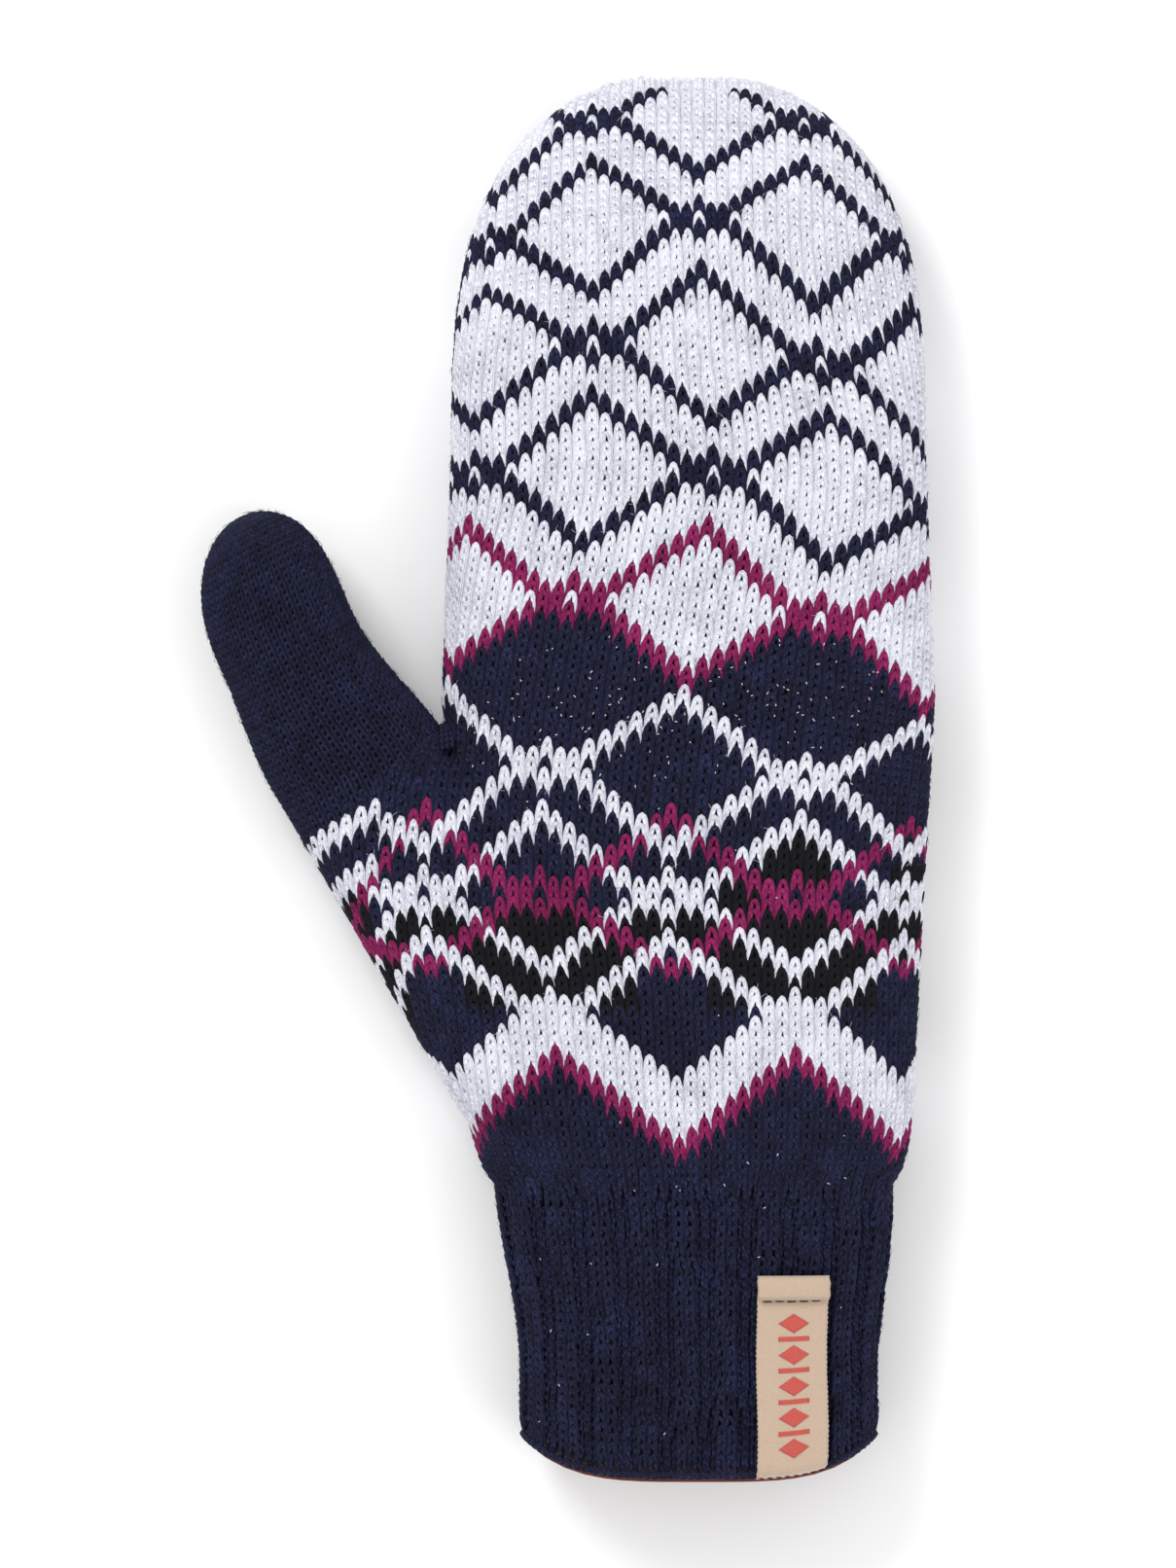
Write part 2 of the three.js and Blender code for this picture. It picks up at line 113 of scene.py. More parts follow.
def half_width(y):
    cuff = mix(HEM_HALF, 38.3, smooth((y - CUFF + CUFF_FLARE) / CUFF_FLARE))
    palm = mix(42.5, 47.6, (y - 56) / 94) - 4.2 * np.exp(np.minimum(56 - y, 0) / 5)
    fingers = mix(47.6, 45.8, (y - 150) / 48)
    w = np.where(y < CUFF, cuff, np.where(y < 150, palm, np.where(y < DOME_FROM, fingers, 45.8)))
    return np.maximum(w * dome(y, 3, 0.45), 0.02)


def lift(q):
    inside = 1 - np.abs(q) ** BULGE
    return np.sign(inside) * np.abs(inside) ** (1 / BULGE)


def hand_top(x, y):
    return mix(16.5, 15, smooth(y / CUFF)) * dome(y, 4, 0.5) * lift((x - centre(y)) / half_width(y))


def hand_bottom(x, y):
    return -PALM_DROP * dome(y, 4, 0.5) * np.minimum(1, 1.1 * lift((x - centre(y)) / half_width(y)))


def thumb_half(s):
    gusset = 17.2 - 5.2 * np.clip(-s / GUSSET, 0, 1)
    upper = mix(17.2, 14.0, smooth(s / 28))
    t = np.clip((s - 31) / (THUMB_REACH - 31), 0, 1)
    return np.maximum(np.where(s < 0, gusset, upper) * np.maximum(1 - t**2.6, 0) ** 0.5, 0.02)


def thumb_depth(s, full):
    t = np.clip((s - 31) / (THUMB_REACH - 31), 0, 1)
    back = np.clip(-s / GUSSET, 0, 1)
    swell = np.where(s < 0, 1.5 * np.sin(np.pi * back) * (full > 11.6), 0)
    return (full + swell) * np.maximum(1 - t**3.2, 0) ** 0.5


def bow(s):
    return np.where(s > 0, -2.0 * np.sin(np.pi * np.clip(s, 0, THUMB_REACH) / 46), 0)


def thumb_frame(x, y):
    s = (x - ROOT[0]) * ALONG[0] + (y - ROOT[1]) * ALONG[1]
    q = (x - ROOT[0]) * ACROSS[0] + (y - ROOT[1]) * ACROSS[1] - bow(s)
    return s, q


def thumb_field(x, y, full):
    s, q = thumb_frame(x, y)
    sink = 14 * smooth((-s - GUSSET * 0.75) / (GUSSET * 0.3))
    return thumb_depth(s, full) * np.minimum(1, (1.1 if full < 12 else 1) * lift(q / thumb_half(s))) - sink


def joined(a, b, y):
    r = 5 * (1 - smooth((y - 132) / 12)) + 0.02
    return 0.5 * (a + b + np.sqrt((a - b) ** 2 + r * r)) - 0.12 * r


def top(x, y):
    if y >= CROTCH[1]:
        return hand_top(x, y)
    return joined(hand_top(x, y), thumb_field(x, y, 12.0), y)


def bottom(x, y):
    if y >= CROTCH[1]:
        return hand_bottom(x, y)
    return -np.minimum(joined(-hand_bottom(x, y), thumb_field(x, y, 11.5), y), PALM_DROP)


def left_edge(y):
    own = float(centre(y) - half_width(y))
    if y >= CROTCH[1]:
        return own
    x = np.arange(own - 45, own, 0.05)
    s, q = thumb_frame(x, y)
    inside = np.abs(q) < thumb_half(s) * (1 - smooth((-s - GUSSET * 0.75) / (GUSSET * 0.25)))
    return min(own, float(x[inside][0]) if inside.any() else own)


SWAY_Y = np.arange(0, 271.0)
SWAY = np.interp(
    SWAY_Y, [0, 50, 61, 88, 111, 135, 166, 192, 215, 241, 270],
    [-0.5, -1, -1.7, -2.8, -4.4, -2.9, 1.0, 5.2, 3.2, 1.9, 1.8]
)
SWAY = np.convolve(np.pad(SWAY, 8, mode="edge"), np.ones(17) / 17, mode="valid")


def sway(y):
    """How far the hand's middle wale wanders from a straight line."""
    return np.interp(y, SWAY_Y, SWAY)


# ---------------------------------------------------- surfaces as tables of position by arc length

ARC = np.arange(-135, 135.01, 0.5)


class Surface:
    """Points of a tube by station and by arc length round it from the middle of its front or back."""

    def __init__(self, stations, ring, middle, full=None):
        self.stations = stations
        self.side = [[], []]
        self.around = []
        for v in stations:
            loop = ring(v)
            step = np.linalg.norm(np.diff(loop[:, :3], axis=0), axis=1)
            arc = np.concatenate([[0], np.cumsum(step)])
            total = arc[-1]
            half = len(loop) // 2
            front = float(np.interp(middle(v), loop[: half + 1, 3], arc[: half + 1]))
            self.around.append(total)
            for i, start in enumerate((front, front + (full(v) if full else total) / 2)):
                # both sides count towards the right-hand edge
                a = start + (ARC if i == 0 else -ARC)
                self.side[i].append(
                    np.stack([np.interp(np.mod(a, total), arc, loop[:, c]) for c in range(3)], 1)
                )
        self.around = np.array(self.around)
        self.normal = []
        for i in (0, 1):
            p = self.side[i] = np.array(self.side[i])
            du = np.gradient(p, axis=1)
            dv = np.gradient(p, axis=0)
            n = np.cross(du, dv) * (1 if i == 0 else -1)
            n = n / (np.linalg.norm(n, axis=2, keepdims=True) + 1e-12)
            self.normal.append(n)

    def at(self, side, arc, v, out=0.0):
        j = np.interp(v, self.stations, np.arange(len(self.stations)))
        m = np.clip((arc - ARC[0]) / 0.5, 0, len(ARC) - 1.001)
        j0 = np.minimum(j.astype(int), len(self.stations) - 2)
        m0 = m.astype(int)
        fj = (j - j0)[..., None]
        fm = (m - m0)[..., None]
        res = []
        for t in (self.side[side], self.normal[side]):
            res.append(
                (t[j0, m0] * (1 - fm) + t[j0, m0 + 1] * fm) * (1 - fj) + (
                    t[j0 + 1, m0] * (1 - fm) + t[j0 + 1, m0 + 1] * fm
                ) * fj
            )
        n = res[1] / (np.linalg.norm(res[1], axis=-1, keepdims=True) + 1e-12)
        return res[0] + n * np.asarray(out)[..., None], n


def hand_ring(y, fade=0.0):
    """A section of the hand and the gusset; fade takes the gusset away."""
    y = float(y)
    yy = max(y, 0.0)
    own = float(centre(yy) - half_width(yy))
    left, right = mix(left_edge(yy), own, fade), float(centre(yy) + half_width(yy))
    x = left + (right - left) * (1 - np.cos(np.linspace(0, np.pi, 500))) / 2
    up, down = np.maximum(top(x, yy), 0), np.minimum(bottom(x, yy), 0)
    if fade > 0:
        up, down = mix(up, np.maximum(hand_top(x, yy), 0), fade), mix(
            down, np.minimum(hand_bottom(x, yy), 0), fade
        )
    up[0] = up[-1] = down[0] = down[-1] = 0
    front = np.stack([x, np.full_like(x, y), up, x], 1)
    back = np.stack([x, np.full_like(x, y), down, x], 1)[::-1]
    return np.concatenate([front, back[1:]])


def hand_only_round(y):
    th = np.linspace(0, np.pi, 300)
    out = []
    for v in y:
        x = float(centre(v)) - float(half_width(v)) * np.cos(th)
        u, d = np.maximum(hand_top(x, v), 0), np.minimum(hand_bottom(x, v), 0)
        out.append(np.hypot(np.diff(x), np.diff(u)).sum() + np.hypot(np.diff(x), np.diff(d)).sum())
    return np.array(out)


HAND = Surface(
    np.concatenate(
        [
            np.arange(-2, 143.6, 1.0), [143.9, 144.1], np.arange(145, 240, 1.0),
            np.arange(240, 268.1, 0.5), [268.5, 269, 269.4, 269.7, 269.9]
        ]
    ),
    hand_ring,
    lambda y: float(sway(max(y, 0.0))),
    # the back's middle lies opposite, whatever the gusset adds
    lambda y: float(hand_only_round([max(y, 0.0)])[0]),
)


INSIDE = Surface(
    HAND.stations, lambda y: hand_ring(y, float(smooth((y - 106) / 30))),
    lambda y: float(sway(max(y, 0.0)))
)


PITCH_Y = np.arange(0, 271, 3.0)
PITCH = hand_only_round(np.clip(PITCH_Y, 0, DOME_FROM)) / WALES
PITCH = np.where(PITCH_Y > DOME_FROM, mix(PITCH, 2.3, smooth((PITCH_Y - DOME_FROM) / 40)), PITCH)


def pitch(y):
    return np.interp(y, PITCH_Y, PITCH)


def thumb_ring(s):
    s = float(s)
    h = float(thumb_half(s))
    q = -h * np.cos(np.linspace(0, np.pi, 240))
    loops = []
    for full, sign in ((12.0, 1), (11.5, -1)):
        z = float(thumb_depth(s, full)) * np.minimum(1, (1.1 if sign < 0 else 1) * np.maximum(lift(q / h), 0))
        qq = q + float(bow(s))
        x = ROOT[0] + s * ALONG[0] + qq * ACROSS[0]
        y = ROOT[1] + s * ALONG[1] + qq * ACROSS[1]
        if sign > 0:
            zh = hand_top(x, y)
        else:
            zh = -hand_bottom(x, y)
        low = y < CROTCH[1] + 1
        z = np.where(low, np.minimum(joined(zh, z, y), 30 if sign > 0 else PALM_DROP), z)
        loops.append(np.stack([x, y, sign * z, q], 1))
    back = loops[1][::-1]
    loops[0][[0, -1], 2] = (loops[0][[0, -1], 2] + loops[1][[0, -1], 2]) / 2
    back[[0, -1], 2] = loops[0][[-1, 0], 2]
    return np.concatenate([loops[0], back[1:]])


THUMB = Surface(
    np.concatenate([np.arange(-36, 40, 0.75), np.arange(40, 53, 0.4), [53.2, 53.5, 53.8]]),
    thumb_ring,
    lambda s: 0.0,
)


# ---------------------------------------------------- courses and the coloured pattern

def course_at(row):
    """The height above the hem of a course at the middle of the hand; rows count down towards the cuff."""
    return np.interp(row, COURSE_ROWS, COURSE_Y)


# a few courses measured along the middle wale, the rest evenly between them
COURSE_ROWS = np.array([-79, -76, -73, -69, -56, -43, -30, -17, 0, 12, 24, 31.5, 38, 48])
COURSE_Y = np.array(
    [269.8, 268.6, 266.3, 261.3, 241.1, 216.0, 191.9, 166.4, 135.0, 110.8, 88.3, 73.9, 60.9, 41.9]
)
TOP_ROW = int(COURSE_ROWS[0])


def course_drop(col, y):
    """Courses aren't quite square to the wales: they fall to the right over the knuckles, and to both sides
    at the fingertips."""
    slant = 0.02 + 0.2 * smooth((y - 105) / 55) * (1 - smooth((y - 218) / 20))
    droop = 0.0167 * smooth((y - 100) / 135) * col**2
    gusset = 0.6 * 2.5 * np.maximum(-col - 19, 0) * (1 - smooth((y - 138) / 6)) * smooth((y - 62) / 30)
    return -slant * col - droop - gusset


def zigzag(d):
    """How many courses a lattice line runs from its crossing, d wales away from it."""
    return np.where(d >= 4, d - 2, np.where(d == 3, 1, 0))


def pattern(col, row):
    """0 navy, 1 white, 2 magenta, 3 black: lattices of crossing lines that repeat every 18 wales."""
    d0 = np.abs(np.mod(col + 18, 18) - 9)
    d9 = np.abs(np.mod(col + 9, 18) - 9)

    def rows(first, last):
        return (row >= first) & (row <= last)

    def line(d, at):
        a = np.abs(row - at)
        crossing = ((d == 0) | (d == 3)) & ((a == 1) | (a == 2))
        beside = (d >= 1) & (d <= 2) & (a <= 1)
        arms = (d >= 4) & ((a == d - 2) | (a == d - 1))
        return crossing | beside | arms

    white_ground = row + 17 < np.where(d0 == 0, 1, zigzag(d0))
    out = np.where(white_ground, 1, 0)
    black = rows(14, 23) & (d0 <= 6)
    black |= rows(14, 16) & (d9 <= 2)
    black |= rows(6, 10) & (col > 0) & (d0 <= 2)
    black |= rows(11, 13) & (col > 3) & (col < 7)
    black |= rows(9, 19) & (col >= 17)
    black |= rows(4, 18) & (col < -19) & (d9 > 4)
    out = np.where(black & ~white_ground, 3, out)
    for d, at in ((d9, -30), (d0, -43), (d9, -56), (d0, -69)):
        out = np.where(line(d, at) & (row > -74), 0, out)
    out = np.where(line(d9, 12), 1, out)
    out = np.where(line(d0, 12), 2, out)
    out = np.where(line(d0, 0), 1, out)
    out = np.where(line(d0, 24) & (row <= 24), 1, out)
    out = np.where(line(d0, -17), 2, out)
    start = 24 + zigzag(d0)
    out = np.where((row >= start) & (row <= 27 + d0), 1, out)
    out = np.where((row > 27 + d0) & (row <= 29 + d0), 2, out)
    out = np.where(row > 29 + d0, 0, out)
    # beside the thumb the lines bend round and end in two short bars
    bars = (row == 2) | (row == 3) | (row == 7) | (row == 8)
    return np.where((col < -21) & (row < 9), np.where(bars, 1, 0), out)


# ---------------------------------------------------- mesh building

def mesh_object(name, verts, quads, uv=None, yarn_uv=None, tone=None, smooth_faces=True):
    verts = np.asarray(verts, float).reshape(-1, 3)
    quads = np.asarray(quads, np.int32).reshape(-1, 4)
    me = bpy.data.meshes.new(name)
    me.vertices.add(len(verts))
    me.vertices.foreach_set("co", to_frame(verts).astype(np.float32).ravel())
    me.loops.add(quads.size)
    me.loops.foreach_set("vertex_index", quads.ravel())
    me.polygons.add(len(quads))
    me.polygons.foreach_set("loop_start", np.arange(0, quads.size, 4, dtype=np.int32))
    me.polygons.foreach_set("loop_total", np.full(len(quads), 4, np.int32))
    me.polygons.foreach_set("use_smooth", np.full(len(quads), smooth_faces))
    me.update(calc_edges=True)
    for label, data in (("OFBake", uv), ("yarn", yarn_uv)):
        if data is not None:
            layer = me.uv_layers.new(name=label)
            layer.data.foreach_set("uv", np.asarray(data, np.float32).reshape(-1, 2)[quads.ravel()].ravel())
    if tone is not None:
        att = me.attributes.new("tone", "FLOAT", "POINT")
        att.data.foreach_set("value", np.asarray(tone, np.float32).ravel())
    ob = bpy.data.objects.new(name, me)
    bpy.context.scene.collection.objects.link(ob)
    return ob


SIDES = 6


def tubes(lines, normals, radius, sides=SIDES):
    """Closed tubes along many lines at once. lines is (count, points, 3)."""
    count, points = lines.shape[:2]
    tangent = np.gradient(lines, axis=1)
    tangent /= np.linalg.norm(tangent, axis=2, keepdims=True) + 1e-9
    side = np.cross(tangent, normals)
    side /= np.linalg.norm(side, axis=2, keepdims=True) + 1e-9
    up = np.cross(side, tangent)
    phi = np.arange(sides) * 2 * np.pi / sides
    radius = np.broadcast_to(np.asarray(radius, float), (count, points))
    cos, sin = np.cos(phi)[None, None, :, None], np.sin(phi)[None, None, :, None]
    ring = lines[:, :, None] + radius[:, :, None, None] * (cos * up[:, :, None] + sin * side[:, :, None])
    verts = ring.reshape(-1, 3)
    base = (np.arange(count) * points * sides)[:, None, None]
    p = (np.arange(points - 1) * sides)[None, :, None]
    k = np.arange(sides)[None, None, :]
    n = (k + 1) % sides
    quads = np.stack(
        [base + p + k, base + p + sides + k, base + p + sides + n, base + p + n], -1
    ).reshape(-1, 4)
    caps = []
    if sides == 6:
        first, last = base[:, 0, 0], base[:, 0, 0] + (points - 1) * sides
        for f in ((0, 1, 2, 3), (0, 3, 4, 5)):
            caps.append(first[:, None] + np.array(f))
            caps.append(last[:, None] + np.array(f[::-1]))
    elif sides == 4:
        first, last = base[:, 0, 0], base[:, 0, 0] + (points - 1) * sides
        caps = [first[:, None] + np.array((0, 1, 2, 3)), last[:, None] + np.array((3, 2, 1, 0))]
    quads = np.concatenate([quads] + caps)
    # each tube has its own cell of the bake map
    cells = math.ceil(math.sqrt(count))
    cell = np.arange(count)
    cu, cv = (cell % cells) / cells, (cell // cells) / cells
    u = np.linspace(0.04, 0.96, points)
    v = np.abs(np.linspace(-0.9, 0.9, sides))
    uv = np.stack(
        np.broadcast_arrays(
            cu[:, None, None] + u[None, :, None] / cells,
            cv[:, None, None] + (0.05 + v[None, None, :]) / cells
        ),
        -1
    )
    run = np.concatenate(
        [np.zeros((count, 1)), np.cumsum(np.linalg.norm(np.diff(lines, axis=1), axis=2), axis=1)], 1
    )
    yarn = np.stack(
        np.broadcast_arrays(
            run[:, :, None] + 0 * phi[None, None],
            (np.arange(sides) / sides)[None, None, :] + 0 * run[:, :, None]
        ),
        -1
    )
    return verts, quads, uv.reshape(-1, 2), yarn.reshape(-1, 2)


T = np.linspace(0, 1, 13)  # points along one stitch


class Fabric:
    """Lays stitches on a surface, each a loop of yarn whose arch is in front of the next loop's legs."""

    def __init__(self, surface, side, course, seed, loose=1.0):
        self.surface, self.side, self.course = surface, side, course
        r = np.random.default_rng(seed)
        self.wobble = r.normal(0, 1, (3, 320, 240)) * np.array([0.035, 0.05, 0.06])[:, None, None] * loose
        self.loose = r.normal(0, 1, (320, 240))

    def loops(
        self, row, col, height=LOOP_HEIGHT, depth=LOOP_DEPTH, sink=0.0, purl=False, lean=LOOP_LEAN, width=1.0
    ):
        t = T[None]
        row = row[:, None].astype(float)
        col = col[:, None].astype(float)
        ri, ci = (row[:, 0].astype(int) + 140), (np.round(col[:, 0]).astype(int) + 110)
        w0, w1 = self.wobble[:, ri, ci][..., None], self.wobble[:, ri, ci + 1][..., None]
        wob = w0 * (1 - t) + w1 * t
        c = col + width * (-0.5 + t + lean * np.sin(4 * np.pi * t) - 0.05 * np.sin(2 * np.pi * t)) + wob[0]
        v = row + height / 2 * np.cos(2 * np.pi * t) + wob[1]
        w = depth * np.sin(np.pi * t) ** 0.85
        if purl:
            w = depth - w
        w = w - depth - YARN - sink + wob[2]
        y, arc = self.course(c, v)
        p, n = self.surface.at(self.side, arc, y, w)
        return p, n


def hand_course(c, v):
    """Where a stitch of the hand lies: its height above the hem and its arc length from the middle."""
    y = course_at(v)
    y = y + course_drop(c, y)
    y = np.minimum(y, 269.6)
    wider = 1.43 * np.interp(
        y, [60, 74, 88, 111, 135, 166, 192, 215, 230],
        [0, 0.01, 0.02, 0.055, 0.05, 0.01, -0.01, -0.03, 0]
    )
    return y, pitch(y) * (c + wider * 20 / np.pi * np.sin(np.pi * np.clip(c, -20, 20) / 20))


def limits(side):
    """Arc length from the middle to the left and right edges, by station."""
    p = HAND.side[side]
    mid = np.abs(ARC).argmin()
    sign = p[:, :, 2] * (1 if side == 0 else -1)
    inside = sign > 1e-3
    inside[:, 0] = inside[:, -1] = False
    right = [ARC[mid + int(np.argmin(r[mid:]))] for r in inside]
    left = [-ARC[mid - int(np.argmin(r[mid::-1]))] for r in inside]
    return np.array(left), np.array(right)


def beyond_seam(x, y):
    """How far a point lies past the seam, on the thumb's side."""
    line = SEAM_FOOT - CROTCH
    return ((x - CROTCH[0]) * line[1] - (y - CROTCH[1]) * line[0]) / np.hypot(*line)


def hand_stitches(side):
    """The courses and wales that lie on one face of the hand, up to its edges and the thumb's seam."""
    rows = np.arange(TOP_ROW + 1, 42)
    cols = np.arange(-48, 49)
    r, c = [g.ravel() for g in np.meshgrid(rows, cols, indexing="ij")]
    y, arc = hand_course(c.astype(float), r.astype(float))
    lo, hi = limits(side)
    left, right = np.interp(y, HAND.stations, lo), np.interp(y, HAND.stations, hi)
    keep = (arc > -left - 0.2) & (arc < right - 0.2) & (y < 268.9) & (y > CUFF - 1.6)
    p, n = HAND.at(side, arc, y)
    keep &= ~((p[:, 1] < 144.6) & (p[:, 0] < CROTCH[0] + 0.5) & (beyond_seam(p[:, 0], p[:, 1]) > 0.4))
    return r[keep], c[keep]


COLOURS = {0: "navy", 1: "white", 2: "magenta", 3: "black"}
PER_PIECE = 1240  # stitches in one mesh
stitched = {}
for side in (0, 1):
    fabric = Fabric(HAND, side, hand_course, 11 + side)
    r, c = hand_stitches(side)
    colour = pattern(c, r)
    for k in COLOURS:
        on = colour == k
        if not on.any():
            continue
        p, n = fabric.loops(r[on], c[on])
        radius = YARN * (
            1 + 0.05 * fabric.loose[r[on] + 140, c[on] + 110]
        )[:, None] * (1.0 if k != 1 else 1.04)
        stitched.setdefault(k, []).append(
            (p, n, np.broadcast_to(radius, p.shape[:2]), fabric.loose[r[on] + 140, c[on] + 110])
        )


def yarn_pieces(label, parts, material, attach, replaces=()):
    p, n, radius, loose = [np.concatenate(x) for x in zip(*parts)]
    chunks = math.ceil(len(p) / PER_PIECE)
    for i, idx in enumerate(np.array_split(np.arange(len(p)), chunks)):
        v, q, uv, yuv = tubes(p[idx], n[idx], radius[idx])
        v[:, 2] = np.maximum(v[:, 2], -PALM_DROP)  # the stitches that it lies on are pressed flat
        ob = mesh_object(f"{label}_{i + 1}", v, q, uv, yuv, np.repeat(loose[idx], p.shape[1] * SIDES))
        ob.data.materials.append(material)
        attach(ob)
    if replaces:
        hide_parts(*replaces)


# ---------------------------------------------------- materials

def node(nt, kind, **values):
    n = nt.nodes.new(kind)
    for k, v in values.items():
        if k.startswith("in_"):
            n.inputs[k[3:].replace("_", " ")].default_value = v
        else:
            setattr(n, k, v)
    return n


def new_material(name):
    m = bpy.data.materials.new(name)
    m.use_nodes = True
    return m, m.node_tree, m.node_tree.nodes["Principled BSDF"]


def wool(name, dark, base, light, sheen=0.35, twist=1.5, patchy=0.35):
    """Two-ply wool: twist and fibre bumps, lighter and darker stitches at random, a little sheen; the twist's
    wave is also painted into the base colour, as painted shade in the grooves between the plies and a painted
    highlight on their crests.
    """
    m, nt, bsdf = new_material(name)
    uv = node(nt, "ShaderNodeUVMap", uv_map="yarn")
    split = node(nt, "ShaderNodeSeparateXYZ")
    nt.links.new(uv.outputs[0], split.inputs[0])
    turns = node(nt, "ShaderNodeMath", operation="MULTIPLY_ADD")
    turns.inputs[1].default_value = 1 / twist
    nt.links.new(split.outputs[0], turns.inputs[0])
    ply = node(nt, "ShaderNodeMath", operation="MULTIPLY")
    ply.inputs[1].default_value = 2.0
    nt.links.new(split.outputs[1], ply.inputs[0])
    nt.links.new(ply.outputs[0], turns.inputs[2])
    wave = node(nt, "ShaderNodeMath", operation="SINE")
    rad = node(nt, "ShaderNodeMath", operation="MULTIPLY")
    rad.inputs[1].default_value = 2 * math.pi
    nt.links.new(turns.outputs[0], rad.inputs[0])
    nt.links.new(rad.outputs[0], wave.inputs[0])
    coord = node(nt, "ShaderNodeTexCoord")
    fibre = node(nt, "ShaderNodeTexNoise", in_Scale=2600.0, in_Detail=3.0, in_Roughness=0.65)
    patch = node(nt, "ShaderNodeTexNoise", in_Scale=90.0, in_Detail=2.0)
    for t in (fibre, patch):
        nt.links.new(coord.outputs["Object"], t.inputs["Vector"])
    tone = node(nt, "ShaderNodeAttribute", attribute_name="tone")
    total = node(nt, "ShaderNodeMath", operation="MULTIPLY_ADD")
    total.inputs[1].default_value = 0.035
    nt.links.new(tone.outputs["Fac"], total.inputs[0])
    nt.links.new(fibre.outputs["Fac"], total.inputs[2])
    # painted shade and highlight: the ply twist's wave darkens each groove and lightens each crest in the
    # yarn's colour, on top of the random tone and fibre noise
    painted_twist_shade_and_tone = node(nt, "ShaderNodeMath", operation="MULTIPLY_ADD")
    painted_twist_shade_and_tone.inputs[1].default_value = 0.13
    nt.links.new(wave.outputs[0], painted_twist_shade_and_tone.inputs[0])
    nt.links.new(total.outputs[0], painted_twist_shade_and_tone.inputs[2])
    blot = node(nt, "ShaderNodeMath", operation="MULTIPLY_ADD")
    blot.inputs[1].default_value = patchy
    nt.links.new(patch.outputs["Fac"], blot.inputs[0])
    nt.links.new(painted_twist_shade_and_tone.outputs[0], blot.inputs[2])
    ramp = node(nt, "ShaderNodeValToRGB")
    ramp.color_ramp.elements[0].position = 0.205 + patchy / 2
    ramp.color_ramp.elements[0].color = linear(dark)
    ramp.color_ramp.elements[1].position = 0.845 + patchy / 2
    ramp.color_ramp.elements[1].color = linear(light)
    e = ramp.color_ramp.elements.new(0.485 + patchy / 2)
    e.color = linear(base)
    nt.links.new(blot.outputs[0], ramp.inputs["Fac"])
    nt.links.new(ramp.outputs["Color"], bsdf.inputs["Base Color"])
    height = node(nt, "ShaderNodeMath", operation="MULTIPLY_ADD")
    height.inputs[1].default_value = 1.3
    nt.links.new(fibre.outputs["Fac"], height.inputs[0])
    nt.links.new(wave.outputs[0], height.inputs[2])
    bump = node(nt, "ShaderNodeBump", in_Strength=0.55, in_Distance=0.00016)
    nt.links.new(height.outputs[0], bump.inputs["Height"])
    nt.links.new(bump.outputs[0], bsdf.inputs["Normal"])
    bsdf.inputs["Roughness"].default_value = 0.92
    bsdf.inputs["Specular IOR Level"].default_value = 0.25
    bsdf.inputs["Sheen Weight"].default_value = sheen
    bsdf.inputs["Sheen Roughness"].default_value = 0.5
    bsdf.inputs["Sheen Tint"].default_value = linear(light)
    return m


def cloth(name, dark, light, scale=900.0, rough=0.9, sheen=0.3, stretch=(1, 1, 1), bump=0.5, far=0.0002):
    m, nt, bsdf = new_material(name)
    coord = node(nt, "ShaderNodeTexCoord")
    mapping = node(nt, "ShaderNodeMapping")
    mapping.inputs["Scale"].default_value = stretch
    nt.links.new(coord.outputs["Object"], mapping.inputs["Vector"])
    noise = node(nt, "ShaderNodeTexNoise", in_Scale=scale, in_Detail=4.0, in_Roughness=0.6)
    nt.links.new(mapping.outputs[0], noise.inputs["Vector"])
    ramp = node(nt, "ShaderNodeValToRGB")
    ramp.color_ramp.elements[0].position = 0.3
    ramp.color_ramp.elements[0].color = linear(dark)
    ramp.color_ramp.elements[1].position = 0.72
    ramp.color_ramp.elements[1].color = linear(light)
    nt.links.new(noise.outputs["Fac"], ramp.inputs["Fac"])
    nt.links.new(ramp.outputs["Color"], bsdf.inputs["Base Color"])
    b = node(nt, "ShaderNodeBump", in_Strength=bump, in_Distance=far)
    nt.links.new(noise.outputs["Fac"], b.inputs["Height"])
    nt.links.new(b.outputs[0], bsdf.inputs["Normal"])
    bsdf.inputs["Roughness"].default_value = rough
    bsdf.inputs["Sheen Weight"].default_value = sheen
    return m


WOOL = {
    0: wool("navy wool", (4, 5, 15), (15, 17, 39), (46, 50, 92), 0.06, patchy=0.2),
    1: wool("white wool", (168, 168, 182), (218, 219, 230), (238, 239, 247), 0.2),
    2: wool("magenta wool", (84, 12, 54), (120, 22, 76), (160, 44, 106), 0.15),
    3: wool("black wool", (5, 5, 10), (10, 10, 17), (22, 22, 32), 0.1),
}
# the strands carried behind the stitches, in a navy darker than the navy yarn: partly their own colour,
# partly painted shade for the dark gaps between the stitches
floats_and_painted_gap_shade = cloth("knit floats", (9, 9, 20), (26, 27, 48), 1400.0)
fleece = cloth("fleece", (40, 42, 66), (72, 76, 104), 700.0, far=0.0008, bump=0.8)
band_cloth = cloth("band tape", (96, 34, 28), (142, 58, 44), 2500.0, stretch=(1, 6, 1))
satin = cloth("label satin", (168, 142, 120), (196, 174, 152), 2200.0, 0.5, 0.4, (1, 9, 1), 0.6, 0.0001)
print_thread = cloth("label print", (160, 48, 40), (206, 86, 72), 2600.0, 0.6, 0.2, (6, 1, 1))
dark_thread = cloth("sewing thread", (34, 14, 18), (74, 34, 36), 3000.0, 0.6, 0.2)
magenta_thread = cloth("magenta thread", (96, 14, 62), (165, 50, 115), 3000.0, 0.7, 0.2)
care_satin = cloth("care satin", (216, 216, 218), (240, 240, 242), 2200.0, 0.5, 0.4, (1, 9, 1), 0.5, 0.0001)


